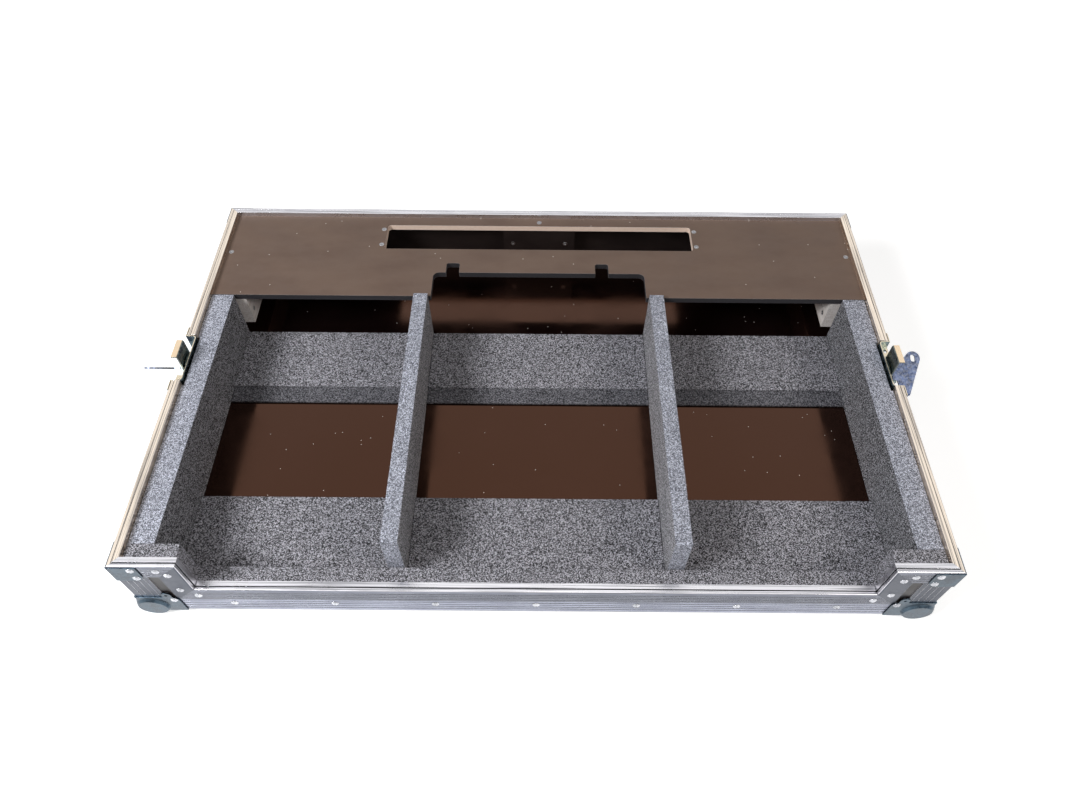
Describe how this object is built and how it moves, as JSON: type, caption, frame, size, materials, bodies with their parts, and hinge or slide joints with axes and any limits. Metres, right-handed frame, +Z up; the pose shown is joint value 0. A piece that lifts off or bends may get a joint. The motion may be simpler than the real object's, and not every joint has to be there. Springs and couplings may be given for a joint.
{
  "type": "flight case base",
  "caption": "Open flight case base for a mixer and two players, with foam bays, a rear shelf and a turning latch on each side.",
  "frame": {"origin": "on the ground under the middle of the case base", "axes": "+Z up, +X to the right seen from the low front, the low front faces -Y"},
  "size_m": [1.068, 0.625, 0.1521],
  "materials": {
    "film_board": "film-faced plywood, dark brown, satin to glossy",
    "timber": "raw sawn timber",
    "foam": "closed-cell foam, cut faces finer and paler",
    "aluminium": "bright drawn aluminium extrusion",
    "zinc_steel": "blue-white zinc plated pressed steel",
    "blued_steel": "dark zinc plated steel",
    "brass": "turned",
    "rivet": "bright domed blind rivet",
    "screw": "zinc plated screw",
    "rubber": "matt black"
  },
  "bodies": {
    "base": {"floor_panel": "film_board", "floor_battens": "timber", "front_panel": "film_board", "rear_panel": "film_board", "left_panel": "film_board", "right_panel": "film_board", "rear_shelf": "film_board", "shelf_batten_left": "timber", "shelf_batten_right": "timber", "shelf_centre_block": "film_board", "side_foam_left": "foam", "side_foam_right": "foam", "front_foam_lining": "foam", "front_ledge_foam": "foam", "rear_ledge_foam": "foam", "divider_foam_left": "foam", "divider_foam_right": "foam", "rear_rail": "aluminium", "left_rail": "aluminium", "right_rail": "aluminium", "front_rail_left": "aluminium", "front_rail_right": "aluminium", "notch_rail_left": "aluminium", "notch_rail_right": "aluminium", "low_front_rail": "aluminium", "bottom_angle_front": "aluminium", "bottom_angle_right": "aluminium", "bottom_angle_rear": "aluminium", "bottom_angle_left": "aluminium", "corner_angle_front_left": "aluminium", "corner_angle_front_right": "aluminium", "corner_angle_rear_right": "aluminium", "corner_angle_rear_left": "aluminium", "ball_corner_front_left": "zinc_steel", "ball_corner_front_right": "zinc_steel", "ball_corner_rear_right": "zinc_steel", "ball_corner_rear_left": "zinc_steel", "corner_braces": "zinc_steel", "rubber_feet": "rubber", "foot_screws": "screw", "frame_rivets": "rivet", "corner_rivets": "rivet", "latch_rivets": "rivet", "shelf_screws": "screw", "batten_screws": "screw", "floor_screws": "screw", "latch_dish_right": "zinc_steel", "latch_dish_left": "zinc_steel"},
    "right_drum": {"latch_drum_right": "zinc_steel", "latch_pin_right": "screw"},
    "right_wing": {"latch_wing_right": "blued_steel"},
    "right_hook": {"latch_hook_right": "blued_steel", "latch_follower_right": "brass"},
    "left_drum": {"latch_drum_left": "zinc_steel", "latch_pin_left": "screw"},
    "left_wing": {"latch_wing_left": "blued_steel"},
    "left_hook": {"latch_hook_left": "blued_steel", "latch_follower_left": "brass"}
  },
  "joints": [
    {"name": "right_latch_turn", "type": "hinge", "parent": "base", "child": "right_drum", "pos_m": [0.49, 0, 0.108], "axis": [1, 0, 0], "range_deg": [-20, 160]},
    {"name": "right_wing_fold", "type": "hinge", "parent": "right_drum", "child": "right_wing", "pos_m": [0.4929, 0, 0.108], "axis": [0, -0.9397, -0.342], "range_deg": [0, 90]},
    {"name": "right_hook_slide", "type": "slide", "parent": "base", "child": "right_hook", "axis": [0, 0, 1], "range_m": [-0.00712, 0.0009]},
    {"name": "left_latch_turn", "type": "hinge", "parent": "base", "child": "left_drum", "pos_m": [-0.49, 0, 0.108], "axis": [-1, 0, 0], "range_deg": [-51.5, 128.5]},
    {"name": "left_wing_fold", "type": "hinge", "parent": "left_drum", "child": "left_wing", "pos_m": [-0.4929, 0, 0.108], "axis": [0, 0.6225, -0.7826], "range_deg": [0, 90]},
    {"name": "left_hook_slide", "type": "slide", "parent": "base", "child": "left_hook", "axis": [0, 0, 1], "range_m": [-0.00572, 0.0023]}
  ],
  "couplings": [
    {"joint": "right_hook_slide", "follows": "right_latch_turn", "m_per_rad": -0.0025465},
    {"joint": "left_hook_slide", "follows": "left_latch_turn", "m_per_rad": -0.0025465}
  ]
}
